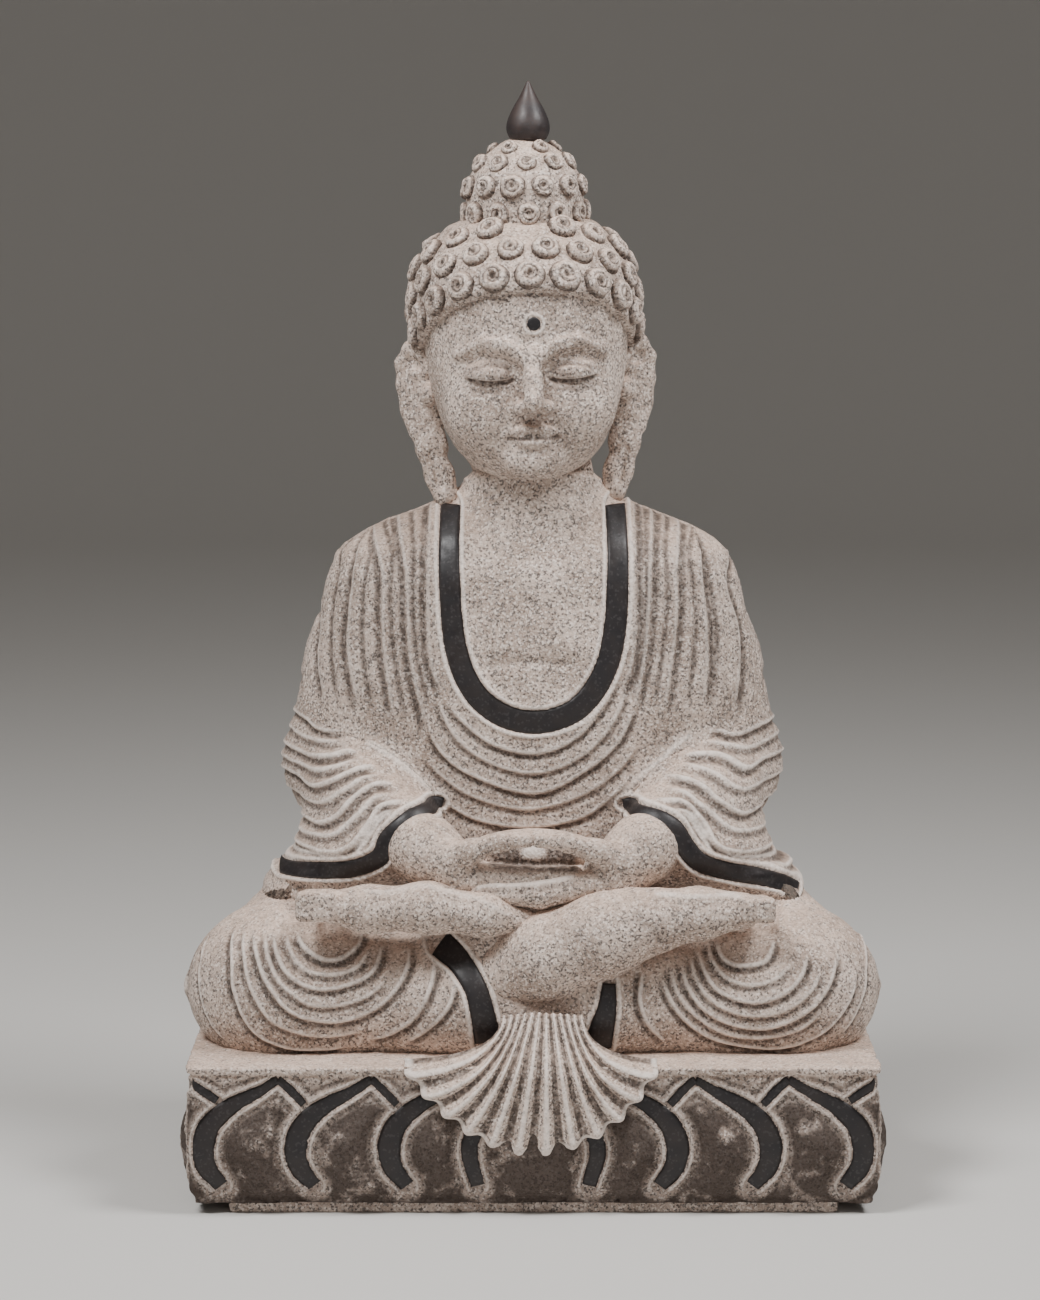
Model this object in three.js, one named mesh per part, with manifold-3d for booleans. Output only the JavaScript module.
// A seated Buddha in dressed granite, built up from separate stones on a lotus plinth, with strips of
// dark polished stone let into the robe and the petals.
// Millimetres, +Z up. The figure faces -Y. The origin is on the floor, under the middle of the plinth.
// Heights of the figure are counted from the seat, which is the top of the plinth.
import * as THREE from "three";
import { mergeVertices } from "three/addons/utils/BufferGeometryUtils.js";
import Module from "manifold-3d";

// ---- Plinth -------------------------------------------------------------------------------------
const PLINTH_WIDTH = 369;
const PLINTH_DEPTH = 250;
const PLINTH_HEIGHT = 75; // from the underside at the corners to the seat
const LIP = 4; // height of the plain edge above the petals
const SLAB_WIDTH = 326;
const SLAB_DEPTH = 238;
const SLAB_HEIGHT = 14;
const SLAB_REBATE = 9; // how far the slab goes up into the plinth
const CORNER_RADIUS = 5;
const PETAL_FOOT = 12; // how far the petals' lower ends stand above the plinth's underside
const BELLY = 3; // how far the petals swell past their ends
const CENTRE_PETAL_TIP = 36.5; // first leaning tip, from the middle of a side
const FRONT_LEANING = 3; // leaning petals on each half of the front and of the back
const SIDE_LEANING = 2; // and on each half of a side

// ---- Let-in strips and bonded joints ---------------------------------------------------------------
const INLAY_DEPTH = 3; // how deep a strip goes into its stone
const INLAY_PROUD = 0.6; // how far its face stands out of the stone
const BOND = 0.4; // mortar gap between two stones
const DOWEL_PLAY = 0.5; // radial room for resin around a dowel

// ---- Legs and body ------------------------------------------------------------------------------------
const KNEE_SPREAD = 130; // from the middle to the centre of a knee
const KNEE = [58, 54, 42]; // half sizes of a knee
const KNEE_HEIGHT = 32;
const LAP_FRONT = -46; // centre of a knee, front to back
const TORSO_HEIGHT = 290; // seat to the root of the neck
const CHEST_WIDTH = 192;
const WAIST_WIDTH = 168;
const FOOT_LENGTH = 118;
const FOOT_FRONT = -94;

// ---- Arms ---------------------------------------------------------------------------------------------
const SHOULDER_INSET = 15; // from the side of the chest in to a shoulder's centre
const SHOULDER_DROP = 40; // centre of a shoulder below the root of the neck
const SHOULDER_RADIUS = 32;
const ELBOW_OUTSET = 5; // from the side of the chest out to an elbow's centre
const ELBOW_HEIGHT = 140;
const ELBOW_RADIUS = 34;
const WRIST_SPREAD = 56;
const WRIST_HEIGHT = 112;
const WRIST_RADIUS = 16;
const CUFF_THICKNESS = 7;
const HAND_FRONT = -80;

// ---- Head ---------------------------------------------------------------------------------------------
const NECK_RADIUS = 30;
const NECK_HEIGHT = 42; // root of the neck to the middle of the jaw
const HEAD_WIDTH = 112;
const HEAD_DEPTH = 118;
const HEAD_HEIGHT = 138; // chin to crown
const CHIN_RISE = 20; // chin above the root of the neck
const HAIRLINE = 98; // hairline above the chin, at the forehead
const HAIRLINE_SLOPE = 30; // degrees down towards the nape
const HEAD_TURN = 3; // degrees towards +X
const TOPKNOT_RADIUS = 37;
const TOPKNOT_HEIGHT = 42;
const FINIAL_RADIUS = 12;
const FINIAL_HEIGHT = 29.4;
const EAR_HEIGHT = 76;
const URNA_RADIUS = 4.2;

// ---- Front cloth ----------------------------------------------------------------------------------------
const CLOTH_WIDTH = 128;
const CLOTH_DROP = 46; // below the seat
const CLOTH_THICKNESS = 6;

// ---- Dowels -------------------------------------------------------------------------------------------
const SEAT_DOWEL = { radius: 7, length: 64, spread: 62, y: 34 };
const NECK_DOWEL = { radius: 6, length: 56, y: 12 };
const CROWN_DOWEL = { radius: 4, length: 96, y: 4, sink: 26 }; // pins topknot and hair to the head
const FINIAL_DOWEL = { radius: 2, length: 20 };

const UNDERSIDE = SLAB_HEIGHT - SLAB_REBATE; // plinth's own underside
const SEAT = UNDERSIDE + PLINTH_HEIGHT;
const EXTENT = 1000; // a cutting block larger than anything here

const wasm = await Module();
wasm.setup();

// ---- From three.js geometry to a solid and back --------------------------------------------------------
function solid(geometry) {
  const bare = new THREE.BufferGeometry();
  bare.setAttribute("position", geometry.getAttribute("position"));
  if (geometry.index) bare.setIndex(geometry.index);
  const merged = mergeVertices(bare, 1e-4);
  return new wasm.Manifold(
    new wasm.Mesh({
      numProp: 3,
      vertProperties: merged.attributes.position.array,
      triVerts: new Uint32Array(merged.index.array),
    }),
  );
}

function geometryOf(body) {
  const mesh = body.getMesh();
  const geometry = new THREE.BufferGeometry();
  geometry.setAttribute("position", new THREE.BufferAttribute(mesh.vertProperties, 3));
  geometry.setIndex(new THREE.BufferAttribute(mesh.triVerts, 1));
  geometry.computeVertexNormals();
  return geometry;
}

const join = (...bodies) => bodies.reduce((whole, body) => whole.add(body));
const cut = (body, ...tools) => tools.reduce((rest, tool) => rest.subtract(tool), body);
const common = (a, b) => a.intersect(b);
const mirrorX = ([x, y, z], side) => [x * side, y, z];

// ---- Basic shapes: each takes grow, the amount its surface moves outwards --------------------------------
function ball([x, y, z], [rx, ry, rz], grow = 0, around = 14, up = 8) {
  const geometry = new THREE.SphereGeometry(1, around, up);
  geometry.rotateX(Math.PI / 2);
  geometry.scale(rx + grow, ry + grow, rz + grow);
  geometry.translate(x, y, z);
  return solid(geometry);
}

function rod(from, to, radius, grow = 0, around = 12) {
  const a = new THREE.Vector3(...from);
  const b = new THREE.Vector3(...to);
  const along = b.clone().sub(a);
  const geometry = new THREE.CylinderGeometry(radius + grow, radius + grow, along.length(), around);
  geometry.applyQuaternion(new THREE.Quaternion().setFromUnitVectors(new THREE.Vector3(0, 1, 0), along.normalize()));
  geometry.translate(...a.lerp(b, 0.5).toArray());
  return solid(geometry);
}

// A tapered bar with round ends.
function limb(from, to, radiusFrom, radiusTo, grow = 0, around = 10) {
  const along = new THREE.Vector3(...to).sub(new THREE.Vector3(...from));
  const length = along.length();
  const cap = (radius, middle, quarter) =>
    Array.from({ length: 4 }, (_, i) => {
      const angle = ((i + quarter) / 3) * (Math.PI / 2);
      const r = (radius + grow) * Math.cos(angle);
      return new THREE.Vector2(Math.abs(r) < 1e-6 ? 0 : r, middle + (radius + grow) * Math.sin(angle));
    });
  const geometry = new THREE.LatheGeometry([...cap(radiusFrom, 0, -3), ...cap(radiusTo, length, 0)], around);
  geometry.applyQuaternion(new THREE.Quaternion().setFromUnitVectors(new THREE.Vector3(0, 1, 0), along.normalize()));
  geometry.translate(...from);
  return solid(geometry);
}

function block([x, y, z], [sx, sy, sz], grow = 0) {
  const geometry = new THREE.BoxGeometry(sx + 2 * grow, sy + 2 * grow, sz + 2 * grow);
  geometry.translate(x, y, z);
  return solid(geometry);
}

function turned(profile, around = 18) {
  const geometry = new THREE.LatheGeometry(profile.map(([r, z]) => new THREE.Vector2(r, z)), around);
  geometry.rotateX(Math.PI / 2);
  return solid(geometry);
}

// An outline moved outwards by grow, corners mitred.
function grown(shape, grow, divisions) {
  const points = shape.getPoints(divisions).filter((p, i, all) => p.distanceTo(all[(i + 1) % all.length]) > 1e-6);
  const turn = THREE.ShapeUtils.isClockWise(points) ? -1 : 1;
  const normal = (from, to) => new THREE.Vector2(to.y - from.y, from.x - to.x).normalize().multiplyScalar(turn);
  return new THREE.Shape(
    points.map((p, i) => {
      const before = normal(points[(i + points.length - 1) % points.length], p);
      const after = normal(p, points[(i + 1) % points.length]);
      const mitre = grow / Math.max(0.4, 1 + before.dot(after));
      return p.clone().addScaledVector(before.add(after), mitre);
    }),
  );
}

// A flat outline in X and Z, made solid from one y to another.
function plate(shape, fromY, toY, grow = 0, divisions = 3) {
  const outline = grown(shape, grow, divisions);
  const geometry = new THREE.ExtrudeGeometry(outline, { depth: toY - fromY, bevelEnabled: false });
  geometry.rotateX(Math.PI / 2);
  geometry.translate(0, toY, 0);
  return solid(geometry);
}

// Rings of equally many points, counter-clockwise from above and from the lowest up, closed at both ends.
function skin(rings) {
  const n = rings[0].length;
  const index = [];
  for (let k = 0; k + 1 < rings.length; k++) {
    for (let i = 0; i < n; i++) {
      const a = k * n + i;
      const b = k * n + ((i + 1) % n);
      index.push(a, b, b + n, a, b + n, a + n);
    }
  }
  const top = (rings.length - 1) * n;
  for (let i = 1; i + 1 < n; i++) index.push(0, i + 1, i, top, top + i, top + i + 1);
  const geometry = new THREE.BufferGeometry();
  geometry.setAttribute("position", new THREE.Float32BufferAttribute(rings.flat(2), 3));
  geometry.setIndex(index);
  return solid(geometry);
}

// Level ovals: each section is [height, half width, front, back].
function oval(sections, grow = 0, around = 20) {
  const last = sections.length - 1;
  return skin(
    sections.map(([z, half, front, back], k) => {
      const middle = (front + back) / 2;
      const deep = (back - front) / 2 + grow;
      const level = z + (k === 0 ? -grow : k === last ? grow : 0);
      return Array.from({ length: around }, (_, i) => {
        const a = (2 * Math.PI * i) / around;
        return [(half + grow) * Math.cos(a), middle + deep * Math.sin(a), level];
      });
    }),
  );
}

// ---- Let-in strips: a strip is the part of its stone's outer skin inside an outline ---------------------------
const strip = (outline, skinOf) => cut(common(outline, skinOf(INLAY_PROUD)), skinOf(-INLAY_DEPTH));
const groove = (outline, skinOf) => cut(outline, skinOf(-INLAY_DEPTH - BOND));

// ---- Plinth stones --------------------------------------------------------------------------------------
// The petals' zone swells and draws in again; grow moves its whole face, for the strips let into it.
function plinthBody(grow = 0) {
  const foot = UNDERSIDE + PETAL_FOOT;
  const levels = [
    [UNDERSIDE, -BELLY],
    [foot, -BELLY],
    [foot + 14, 0],
    [SEAT - 38, 0],
    [SEAT - LIP, -BELLY],
  ];
  const ring = (z, outset) => {
    const hx = PLINTH_WIDTH / 2 + outset + grow - CORNER_RADIUS;
    const hy = PLINTH_DEPTH / 2 + outset + grow - CORNER_RADIUS;
    const corners = [[hx, hy], [-hx, hy], [-hx, -hy], [hx, -hy]];
    return corners.flatMap(([cx, cy], q) =>
      [0, 1, 2].map((i) => {
        const a = (q + i / 2) * (Math.PI / 2);
        return [cx + CORNER_RADIUS * Math.cos(a), cy + CORNER_RADIUS * Math.sin(a), z];
      }),
    );
  };
  return skin(levels.map(([z, outset]) => ring(z, outset)));
}

// A leaning petal's dark border, drawn from its tip: a long stroke down one side, a short one on the other.
// Its long side is towards -X; tall is the drop from the tip to the petal's foot.
function leaningBorder(pitch, tall) {
  const w = pitch / 50;
  const k = tall / 60;
  const s = new THREE.Shape();
  s.moveTo(0, 0);
  s.bezierCurveTo(-14 * w, -14 * k, -44 * w, -20 * k, -44 * w, -40 * k);
  s.bezierCurveTo(-44 * w, -50 * k, -41 * w, -57 * k, -33 * w, -60 * k);
  s.lineTo(-25 * w, -60 * k);
  s.bezierCurveTo(-30 * w, -57 * k, -34 * w, -50 * k, -34 * w, -42 * k);
  s.bezierCurveTo(-34 * w, -30 * k, -18 * w, -21 * k, -3 * w, -11 * k);
  s.lineTo(9 * w, -19 * k);
  s.lineTo(14 * w, -13.5 * k);
  return s;
}

// The upright petal in the middle of a side: strokes down both sides.
function centreBorder(tall) {
  const k = tall / 60;
  const s = new THREE.Shape();
  s.moveTo(0, 0);
  s.bezierCurveTo(-10, -12 * k, -37, -18 * k, -37, -40 * k);
  s.lineTo(-33, -60 * k);
  s.lineTo(-25, -60 * k);
  s.bezierCurveTo(-28, -48 * k, -28, -26 * k, 0, -10.5 * k);
  s.bezierCurveTo(28, -26 * k, 28, -48 * k, 25, -60 * k);
  s.lineTo(33, -60 * k);
  s.lineTo(37, -40 * k);
  s.bezierCurveTo(37, -18 * k, 10, -12 * k, 0, 0);
  return s;
}

// The border of a petal that points along a corner: one short stroke away from the corner.
function cornerBorder() {
  const s = new THREE.Shape();
  s.moveTo(-INLAY_DEPTH, 0);
  s.lineTo(0, 0);
  s.lineTo(18, -14);
  s.lineTo(13, -17);
  s.lineTo(0, -7.5);
  s.lineTo(-INLAY_DEPTH, -7.5);
  return s;
}

// Every border as a prism through its face: [name, prism] with the given growth.
function borderPrisms(grow) {
  const tall = SEAT - LIP - UNDERSIDE - PETAL_FOOT;
  const top = SEAT - LIP - 0.5;
  const faces = [
    ["front", PLINTH_WIDTH, PLINTH_DEPTH, FRONT_LEANING, 0],
    ["back", PLINTH_WIDTH, PLINTH_DEPTH, FRONT_LEANING, Math.PI],
    ["left", PLINTH_DEPTH, PLINTH_WIDTH, SIDE_LEANING, -Math.PI / 2],
    ["right", PLINTH_DEPTH, PLINTH_WIDTH, SIDE_LEANING, Math.PI / 2],
  ];
  const prisms = [];
  const corners = new Map();
  for (const [face, wide, through, leaning, angle] of faces) {
    const toFace = new THREE.Matrix4().makeRotationZ(angle).setPosition(0, 0, top);
    const prism = (shape) => plate(shape, -through / 2 - 4, -through / 2 + 8, grow);
    const placed = (body, x, side) => {
      const m = new THREE.Matrix4().makeTranslation(x, 0, 0);
      m.premultiply(new THREE.Matrix4().makeScale(side, 1, 1)).premultiply(toFace);
      return body.transform(m.elements.slice());
    };
    const pitch = (wide / 2 - CENTRE_PETAL_TIP) / leaning;
    const leaningPrism = prism(leaningBorder(pitch, tall));
    const cornerPrism = prism(cornerBorder());
    prisms.push([`petal_border_${face}_centre`, placed(prism(centreBorder(tall)), 0, 1)]);
    for (const side of [1, -1]) {
      for (let i = 0; i < leaning; i++) {
        const name = `petal_border_${face}_${side > 0 ? "a" : "b"}${i + 1}`;
        prisms.push([name, placed(leaningPrism, -(CENTRE_PETAL_TIP + i * pitch), side)]);
      }
      const at = new THREE.Vector3((-side * wide) / 2, -through / 2, 0).applyMatrix4(toFace);
      const name = `petal_border_corner_${at.y < 0 ? "front" : "back"}_${at.x < 0 ? "left" : "right"}`;
      const body = placed(cornerPrism, -wide / 2, side);
      corners.set(name, corners.has(name) ? join(corners.get(name), body) : body);
    }
  }
  return [...prisms, ...corners];
}

function slabStone(grow = 0) {
  return block([0, 0, SLAB_HEIGHT / 2], [SLAB_WIDTH, SLAB_DEPTH, SLAB_HEIGHT], grow);
}

function plinthStone() {
  const lip = block([0, 0, SEAT - LIP / 2], [PLINTH_WIDTH, PLINTH_DEPTH, LIP]);
  return cut(join(plinthBody(), lip), slabStone(BOND));
}

// ---- Figure stones, in figure coordinates: z = 0 is the seat ----------------------------------------------
function lap(grow = 0) {
  const one = (side) => {
    const at = (x, y, z) => [side * x, y, z];
    return join(
      ball(at(KNEE_SPREAD, LAP_FRONT, KNEE_HEIGHT), KNEE, grow, 18, 9),
      limb(at(62, 42, 36), at(KNEE_SPREAD - 14, LAP_FRONT + 18, KNEE_HEIGHT), 40, 41, grow),
      limb(at(KNEE_SPREAD - 6, LAP_FRONT - 10, 30), at(24, LAP_FRONT - 16, 26), 34, 29, grow),
    );
  };
  const hips = ball([0, 52, 38], [110, 56, 46], grow, 16, 8);
  const middle = ball([0, 0, 30], [92, 72, 36], grow);
  const under = block([0, 0, -EXTENT / 2 + BOND - grow], [EXTENT, EXTENT, EXTENT]);
  return cut(join(one(1), one(-1), hips, middle), under);
}

function torso(grow = 0) {
  const chest = CHEST_WIDTH / 2;
  const waist = WAIST_WIDTH / 2;
  const neck = TORSO_HEIGHT;
  return oval(
    [
      [24, waist + 2, -24, 92],
      [80, waist, -36, 90],
      [neck / 2, waist, -40, 80],
      [neck - 90, chest - 6, -39, 76],
      [neck - 50, chest, -34, 70],
      [neck - 22, chest - 8, -24, 62],
      [neck - 8, chest - 27, -15, 54],
      [neck, NECK_RADIUS + 6, -12, 46],
    ],
    grow,
  );
}

function sleeve(side, grow = 0) {
  const elbowSpread = CHEST_WIDTH / 2 + ELBOW_OUTSET;
  const shoulder = mirrorX([CHEST_WIDTH / 2 - SHOULDER_INSET, 18, TORSO_HEIGHT - SHOULDER_DROP], side);
  const elbow = mirrorX([elbowSpread, 24, ELBOW_HEIGHT], side);
  const cuff = mirrorX([WRIST_SPREAD + 8, -52, WRIST_HEIGHT], side);
  const cuffRadius = WRIST_RADIUS + CUFF_THICKNESS;
  return join(
    limb(shoulder, elbow, SHOULDER_RADIUS, ELBOW_RADIUS, grow),
    limb(elbow, cuff, ELBOW_RADIUS, cuffRadius, grow),
    limb(mirrorX([elbowSpread + 4, 6, 96], side), cuff, 38, cuffRadius - 2, grow),
    ball(mirrorX([elbowSpread + 9, -6, 84], side), [44, 52, 22], grow),
  );
}

// The hand on the +X side lies lower and further forward, under the fingers of the other one.
function hand(side, grow = 0) {
  const y = HAND_FRONT;
  const under = WRIST_HEIGHT - 12;
  const [reach, palm] = side < 0 ? [38, [-14, y - 4, under - 5]] : [44, [14, y - 10, under - 12]];
  return join(
    limb(mirrorX([WRIST_SPREAD, -58, WRIST_HEIGHT], side), mirrorX([40, y, under], side), WRIST_RADIUS, 15, grow),
    ball(palm, [reach, 17, 11], grow, 14, 6),
    limb(mirrorX([38, y - 4, under + 10], side), mirrorX([4, y - 6, under + 18], side), 8, 5.5, grow, 8),
  );
}

// The foot that lies on the thigh at -X; its leg is under the other one.
function restingFoot(grow = 0) {
  const y = FOOT_FRONT + 4;
  return join(
    limb([-8, y, 76], [-FOOT_LENGTH / 2, y, 80], 11, 14, grow),
    limb([-FOOT_LENGTH / 2, y, 80], [-FOOT_LENGTH + 6, y + 2, 80], 14, 11, grow),
  );
}

// The bare shin that crosses in front, and its foot on the thigh at +X.
function crossedShin(grow = 0) {
  return join(
    limb([-14, LAP_FRONT - 26, 42], [44, FOOT_FRONT - 2, 64], 20, 16, grow),
    limb([44, FOOT_FRONT - 2, 64], [FOOT_LENGTH, FOOT_FRONT, 80], 16, 11, grow),
  );
}

// The pleated cloth that comes out under the shins and hangs over the plinth's front edge.
function frontCloth(grow = 0) {
  const edge = -PLINTH_DEPTH / 2 - BOND - INLAY_PROUD;
  const half = CLOTH_WIDTH / 2;
  const s = new THREE.Shape();
  s.moveTo(-half, 4);
  s.lineTo(-half, -10);
  s.bezierCurveTo(-half * 0.7, -CLOTH_DROP * 0.75, -half * 0.4, -CLOTH_DROP, 0, -CLOTH_DROP);
  s.bezierCurveTo(half * 0.4, -CLOTH_DROP, half * 0.7, -CLOTH_DROP * 0.75, half, -10);
  s.lineTo(half, 4);
  const hanging = plate(s, edge - CLOTH_THICKNESS - grow, edge + grow, grow, 4);
  const section = (y, w, h) => [[-w, y, h + grow], [w, y, h + grow], [w, y, BOND - grow], [-w, y, BOND - grow]];
  const lying = skin([
    section(edge - CLOTH_THICKNESS - grow, half + grow, 4),
    section(edge + 14, half * 0.8 + grow, 8),
    section(LAP_FRONT - 30, 26 + grow, 30),
  ]);
  return join(hanging, lying);
}

// ---- Head stones, in head coordinates: the origin is at the root of the neck --------------------------------
function skull(grow = 0) {
  const chin = CHIN_RISE;
  const brain = HEAD_HEIGHT * 0.5;
  return join(
    rod([0, 10, BOND], [0, 10, NECK_HEIGHT], NECK_RADIUS, grow, 16),
    ball([0, -14, chin + 36], [HEAD_WIDTH / 2 - 12, HEAD_DEPTH / 2 - 15, 36], grow),
    ball([0, 2, chin + brain + 6], [HEAD_WIDTH / 2, HEAD_DEPTH / 2, brain - 6], grow, 18, 10),
  );
}

function nose() {
  const face = -HEAD_DEPTH / 2;
  return join(
    limb([0, face + 5, CHIN_RISE + 60], [0, face - 5, CHIN_RISE + 37], 4, 5.5, 0, 8),
    ball([0, face + 2, CHIN_RISE + 36], [9, 8, 5.5], 0, 10, 6),
  );
}

// Everything above the cut that slopes down from the forehead to the nape.
function aboveHairline(grow = 0) {
  const geometry = new THREE.BoxGeometry(EXTENT, EXTENT, EXTENT);
  geometry.translate(0, 0, EXTENT / 2 - grow);
  geometry.rotateX(-THREE.MathUtils.degToRad(HAIRLINE_SLOPE));
  geometry.translate(0, -HEAD_DEPTH / 2, CHIN_RISE + HAIRLINE);
  return solid(geometry);
}

function hairBlock(grow = 0) {
  const middle = [0, CROWN_DOWEL.y, CHIN_RISE + HEAD_HEIGHT - 56];
  return common(ball(middle, [HEAD_WIDTH / 2 + 4, HEAD_DEPTH / 2 + 2, 56], grow, 20, 10), aboveHairline(grow));
}

function ear(side, grow = 0) {
  const x = HEAD_WIDTH / 2 + 1;
  const top = CHIN_RISE + EAR_HEIGHT - 8;
  return join(
    ball(mirrorX([x + 2, 6, top - 18], side), [8, 13, 20], grow, 12, 8),
    limb(mirrorX([x, 4, top - 28], side), mirrorX([x - 8, 6, 8], side), 7.5, 6, grow),
  );
}

function topknotBody() {
  const r = TOPKNOT_RADIUS;
  const h = TOPKNOT_HEIGHT;
  return turned([[0, -12], [r - 3, -12], [r, -2], [r, h * 0.3], [r - 4, h * 0.62], [r - 11, h * 0.88], [8, h], [0, h]]);
}

function finialBody() {
  const r = FINIAL_RADIUS;
  const h = FINIAL_HEIGHT;
  return turned([[0, 0], [r * 0.7, 0], [r * 0.95, h * 0.1], [r, h * 0.19], [r * 0.86, h * 0.38],
    [r * 0.56, h * 0.62], [r * 0.22, h * 0.88], [0, h]]);
}

// ---- Outlines of the strips on the figure, drawn in X and Z ------------------------------------------------
// The U of the collar, over the chest only.
function collarOutline(grow = 0) {
  const top = TORSO_HEIGHT - 4;
  const middle = TORSO_HEIGHT - 70;
  const s = new THREE.Shape();
  s.moveTo(-51, top);
  s.lineTo(-51, middle);
  s.bezierCurveTo(-51, middle - 74, 51, middle - 74, 51, middle);
  s.lineTo(51, top);
  s.lineTo(40, top);
  s.lineTo(40, middle);
  s.bezierCurveTo(40, middle - 52, -40, middle - 52, -40, middle);
  s.lineTo(-40, top);
  return plate(s, -70, 14, grow, 6);
}

// The dark edge of a sleeve, along its hem from the wrist out to the side.
function cuffOutline(side, grow = 0) {
  const hem = WRIST_HEIGHT - 17;
  const s = new THREE.Shape();
  s.moveTo(side * 38, hem + 30);
  s.lineTo(side * 54, hem + 37);
  s.bezierCurveTo(side * 66, hem + 45, side * 86, hem + 33, side * 88, hem + 15);
  s.bezierCurveTo(side * 94, hem + 5, side * 120, hem + 3, side * 140, hem);
  s.lineTo(side * 140, hem - 8);
  s.bezierCurveTo(side * 116, hem - 7, side * 80, hem - 5, side * 76, hem + 11);
  s.bezierCurveTo(side * 76, hem + 23, side * 66, hem + 31, side * 54, hem + 27);
  s.lineTo(side * 38, hem + 20);
  return plate(s, -90, -20, grow, 4);
}

// The dark hem of a trouser leg, a slanting band round the shin.
function hemOutline(side, grow = 0) {
  const [x, lean] = side < 0 ? [-31, -14] : [39, 0];
  const s = new THREE.Shape();
  s.moveTo(x - 6, 8);
  s.lineTo(x + 6, 8);
  s.lineTo(x + 6 + lean * 0.3, 36);
  s.lineTo(x + 6 + lean, 60);
  s.lineTo(x - 6 + lean, 60);
  s.lineTo(x - 6 + lean * 0.3, 36);
  return plate(s, -110, -60, grow);
}

// ---- Finishes -----------------------------------------------------------------------------------------
const granite = new THREE.MeshStandardMaterial({ color: 0xb3a69f, roughness: 0.9, metalness: 0 });
const polished = new THREE.MeshStandardMaterial({ color: 0x2b2628, roughness: 0.35, metalness: 0 });
const steel = new THREE.MeshStandardMaterial({ color: 0x9a9a9c, roughness: 0.4, metalness: 1 });

function stone(name, body, material = granite) {
  const mesh = new THREE.Mesh(geometryOf(body), material);
  mesh.name = name;
  return mesh;
}

function dowel(name, { radius, length }, [x, y, z]) {
  const mesh = new THREE.Mesh(new THREE.CylinderGeometry(radius, radius, length, 12), steel);
  mesh.name = name;
  mesh.rotation.x = Math.PI / 2;
  mesh.position.set(x, y, z);
  return mesh;
}

function dowelHole({ radius, length }, [x, y, z]) {
  const half = length / 2 + BOND;
  return rod([x, y, z - half], [x, y, z + half], radius + DOWEL_PLAY);
}

// ---- Plinth, set on its slab --------------------------------------------------------------------------
const seatHoles = (z) => [-1, 1].map((side) => dowelHole(SEAT_DOWEL, [side * SEAT_DOWEL.spread, SEAT_DOWEL.y, z]));

function buildPlinth() {
  const plinth = new THREE.Group();
  const grooves = borderPrisms(BOND).map(([, prism]) => groove(prism, plinthBody));
  plinth.add(stone("base_slab", slabStone()));
  plinth.add(stone("lotus_plinth", cut(plinthStone(), ...grooves, ...seatHoles(SEAT))));
  for (const [name, prism] of borderPrisms(0)) plinth.add(stone(name, strip(prism, plinthBody), polished));
  return plinth;
}

// ---- Seated figure ------------------------------------------------------------------------------------
function buildLegs() {
  const legs = new THREE.Group();
  const over = [crossedShin(BOND), restingFoot(BOND), frontCloth(BOND)];
  const hems = [-1, 1].map((side) => groove(hemOutline(side, BOND), lap));
  legs.add(stone("lap_and_legs", cut(lap(), ...hems, ...over, ...seatHoles(0))));
  legs.add(stone("hem_band_left", cut(strip(hemOutline(-1), lap), ...over), polished));
  legs.add(stone("hem_band_right", cut(strip(hemOutline(1), lap), ...over), polished));
  legs.add(stone("front_cloth", cut(frontCloth(), crossedShin(BOND))));
  legs.add(stone("crossed_shin_and_foot", crossedShin()));
  legs.add(stone("resting_foot", cut(restingFoot(), crossedShin(BOND))));
  for (const [where, side] of [["left", -1], ["right", 1]]) {
    legs.add(dowel(`seat_dowel_${where}`, SEAT_DOWEL, [side * SEAT_DOWEL.spread, SEAT_DOWEL.y, 0]));
  }
  return legs;
}

function buildBody() {
  const body = new THREE.Group();
  const neckRoot = [0, NECK_DOWEL.y, TORSO_HEIGHT];
  const feet = [crossedShin(BOND), restingFoot(BOND)];
  const hands = [hand(-1, BOND), hand(1, BOND)];
  const chest = cut(torso(), lap(BOND), groove(collarOutline(BOND), torso), dowelHole(NECK_DOWEL, neckRoot));
  body.add(stone("torso", cut(chest, ...hands)));
  body.add(stone("collar_band", strip(collarOutline(), torso), polished));
  body.add(dowel("neck_dowel", NECK_DOWEL, neckRoot));
  for (const [where, side, ownHand] of [["left", -1, hands[0]], ["right", 1, hands[1]]]) {
    const skinOf = (grow) => sleeve(side, grow);
    const around = [torso(BOND + INLAY_PROUD), lap(BOND), ownHand, ...feet];
    body.add(stone(`sleeve_${where}`, cut(sleeve(side), ...around, groove(cuffOutline(side, BOND), skinOf))));
    body.add(stone(`cuff_band_${where}`, cut(strip(cuffOutline(side), skinOf), ...around), polished));
  }
  body.add(stone("hand_left", cut(hand(-1), ...feet, lap(BOND))));
  body.add(stone("hand_right", cut(hand(1), hands[0], ...feet, lap(BOND))));
  return body;
}

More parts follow.
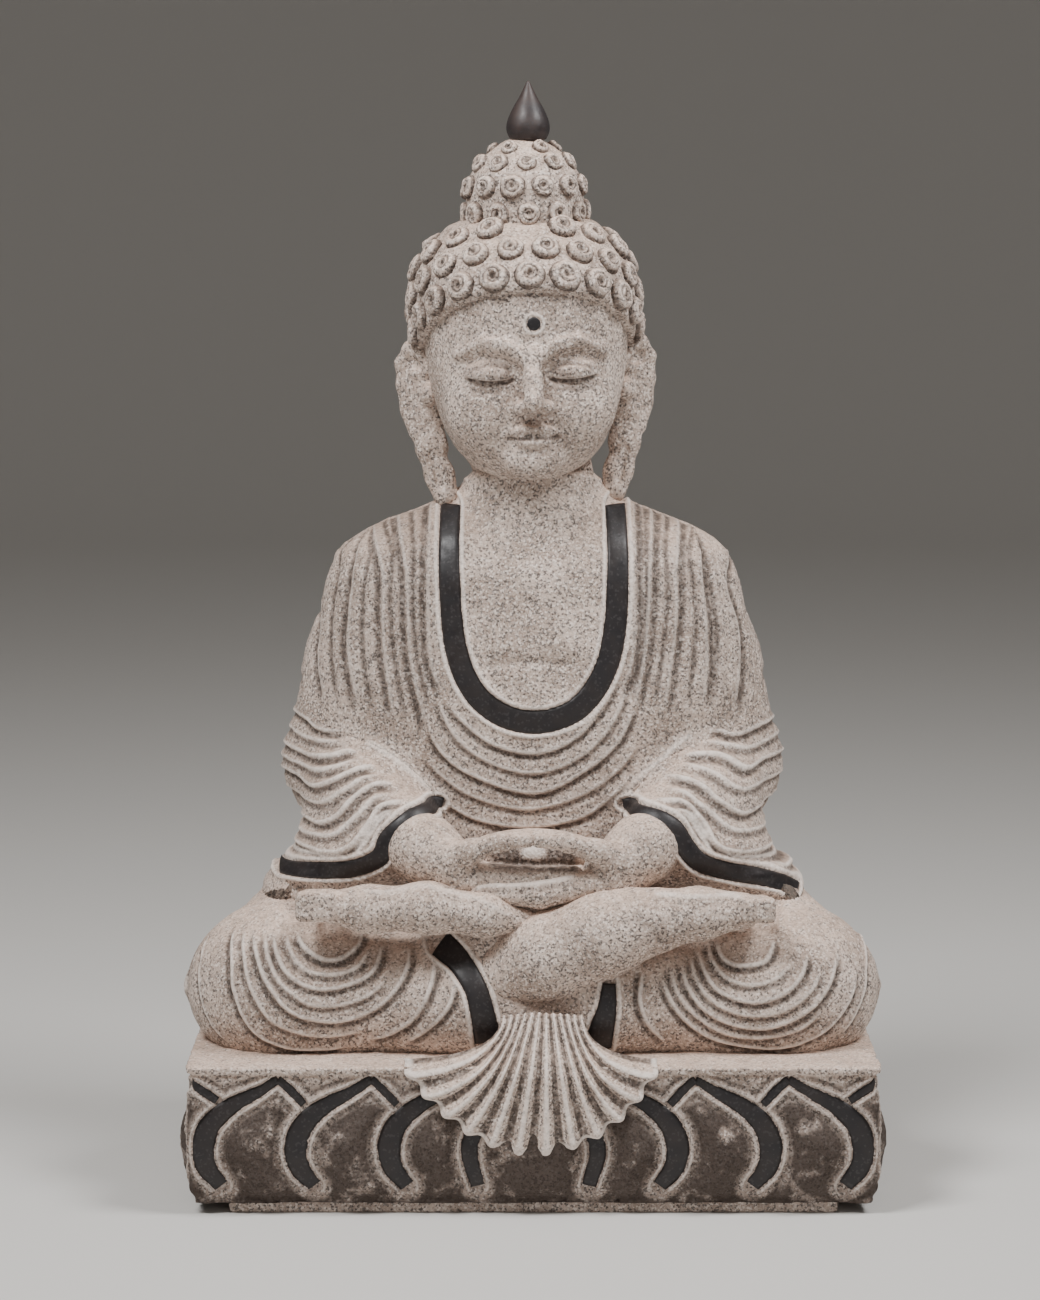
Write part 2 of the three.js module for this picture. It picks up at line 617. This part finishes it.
// ---- Head, pinned together by a dowel down through the crown ------------------------------------------------
function buildHead() {
  const head = new THREE.Group();
  const crown = CHIN_RISE + HEAD_HEIGHT;
  const brow = CHIN_RISE + 78;
  const turn = THREE.MathUtils.degToRad(HEAD_TURN);
  const crownAt = [0, CROWN_DOWEL.y, crown - CROWN_DOWEL.sink];
  const crownHole = dowelHole(CROWN_DOWEL, crownAt);
  const neckHole = dowelHole(NECK_DOWEL, [NECK_DOWEL.y * Math.sin(turn), NECK_DOWEL.y * Math.cos(turn), 0]);
  const urnaPrism = (radius) => rod([0, -HEAD_DEPTH, brow], [0, 0, brow], radius);
  const ears = [ear(-1, BOND), ear(1, BOND)];
  const face = cut(join(skull(), nose()), aboveHairline(BOND), ...ears);
  head.add(stone("head", cut(face, groove(urnaPrism(URNA_RADIUS + BOND), skull), neckHole, crownHole)));
  head.add(stone("urna", strip(urnaPrism(URNA_RADIUS), skull), polished));
  head.add(stone("hair_cap", cut(hairBlock(), ...ears, crownHole)));
  head.add(stone("ear_left", ear(-1)), stone("ear_right", ear(1)));
  head.add(dowel("crown_dowel", CROWN_DOWEL, crownAt));
  head.add(buildTopknot(crown));
  head.position.z = SEAT + TORSO_HEIGHT;
  head.rotation.z = turn;
  return head;
}

function buildTopknot(crown) {
  const knot = new THREE.Group();
  const seat = hairBlock(BOND).translate([0, -CROWN_DOWEL.y, -crown]);
  const holes = [dowelHole(CROWN_DOWEL, [0, 0, -CROWN_DOWEL.sink]), dowelHole(FINIAL_DOWEL, [0, 0, TOPKNOT_HEIGHT])];
  knot.add(stone("topknot", cut(topknotBody(), seat, ...holes)));
  knot.add(dowel("finial_dowel", FINIAL_DOWEL, [0, 0, TOPKNOT_HEIGHT]));
  const finial = stone("finial", cut(finialBody(), dowelHole(FINIAL_DOWEL, [0, 0, -BOND])), polished);
  finial.position.z = TOPKNOT_HEIGHT + BOND;
  knot.add(finial);
  knot.position.set(0, CROWN_DOWEL.y, crown);
  return knot;
}

const figure = new THREE.Group();
figure.add(buildLegs(), buildBody());
figure.position.z = SEAT;

const statue = new THREE.Group();
statue.add(buildPlinth(), figure, buildHead());
statue.position.y = (CLOTH_THICKNESS + BOND + INLAY_PROUD) / 2; // centres the outline, cloth included

export default statue;
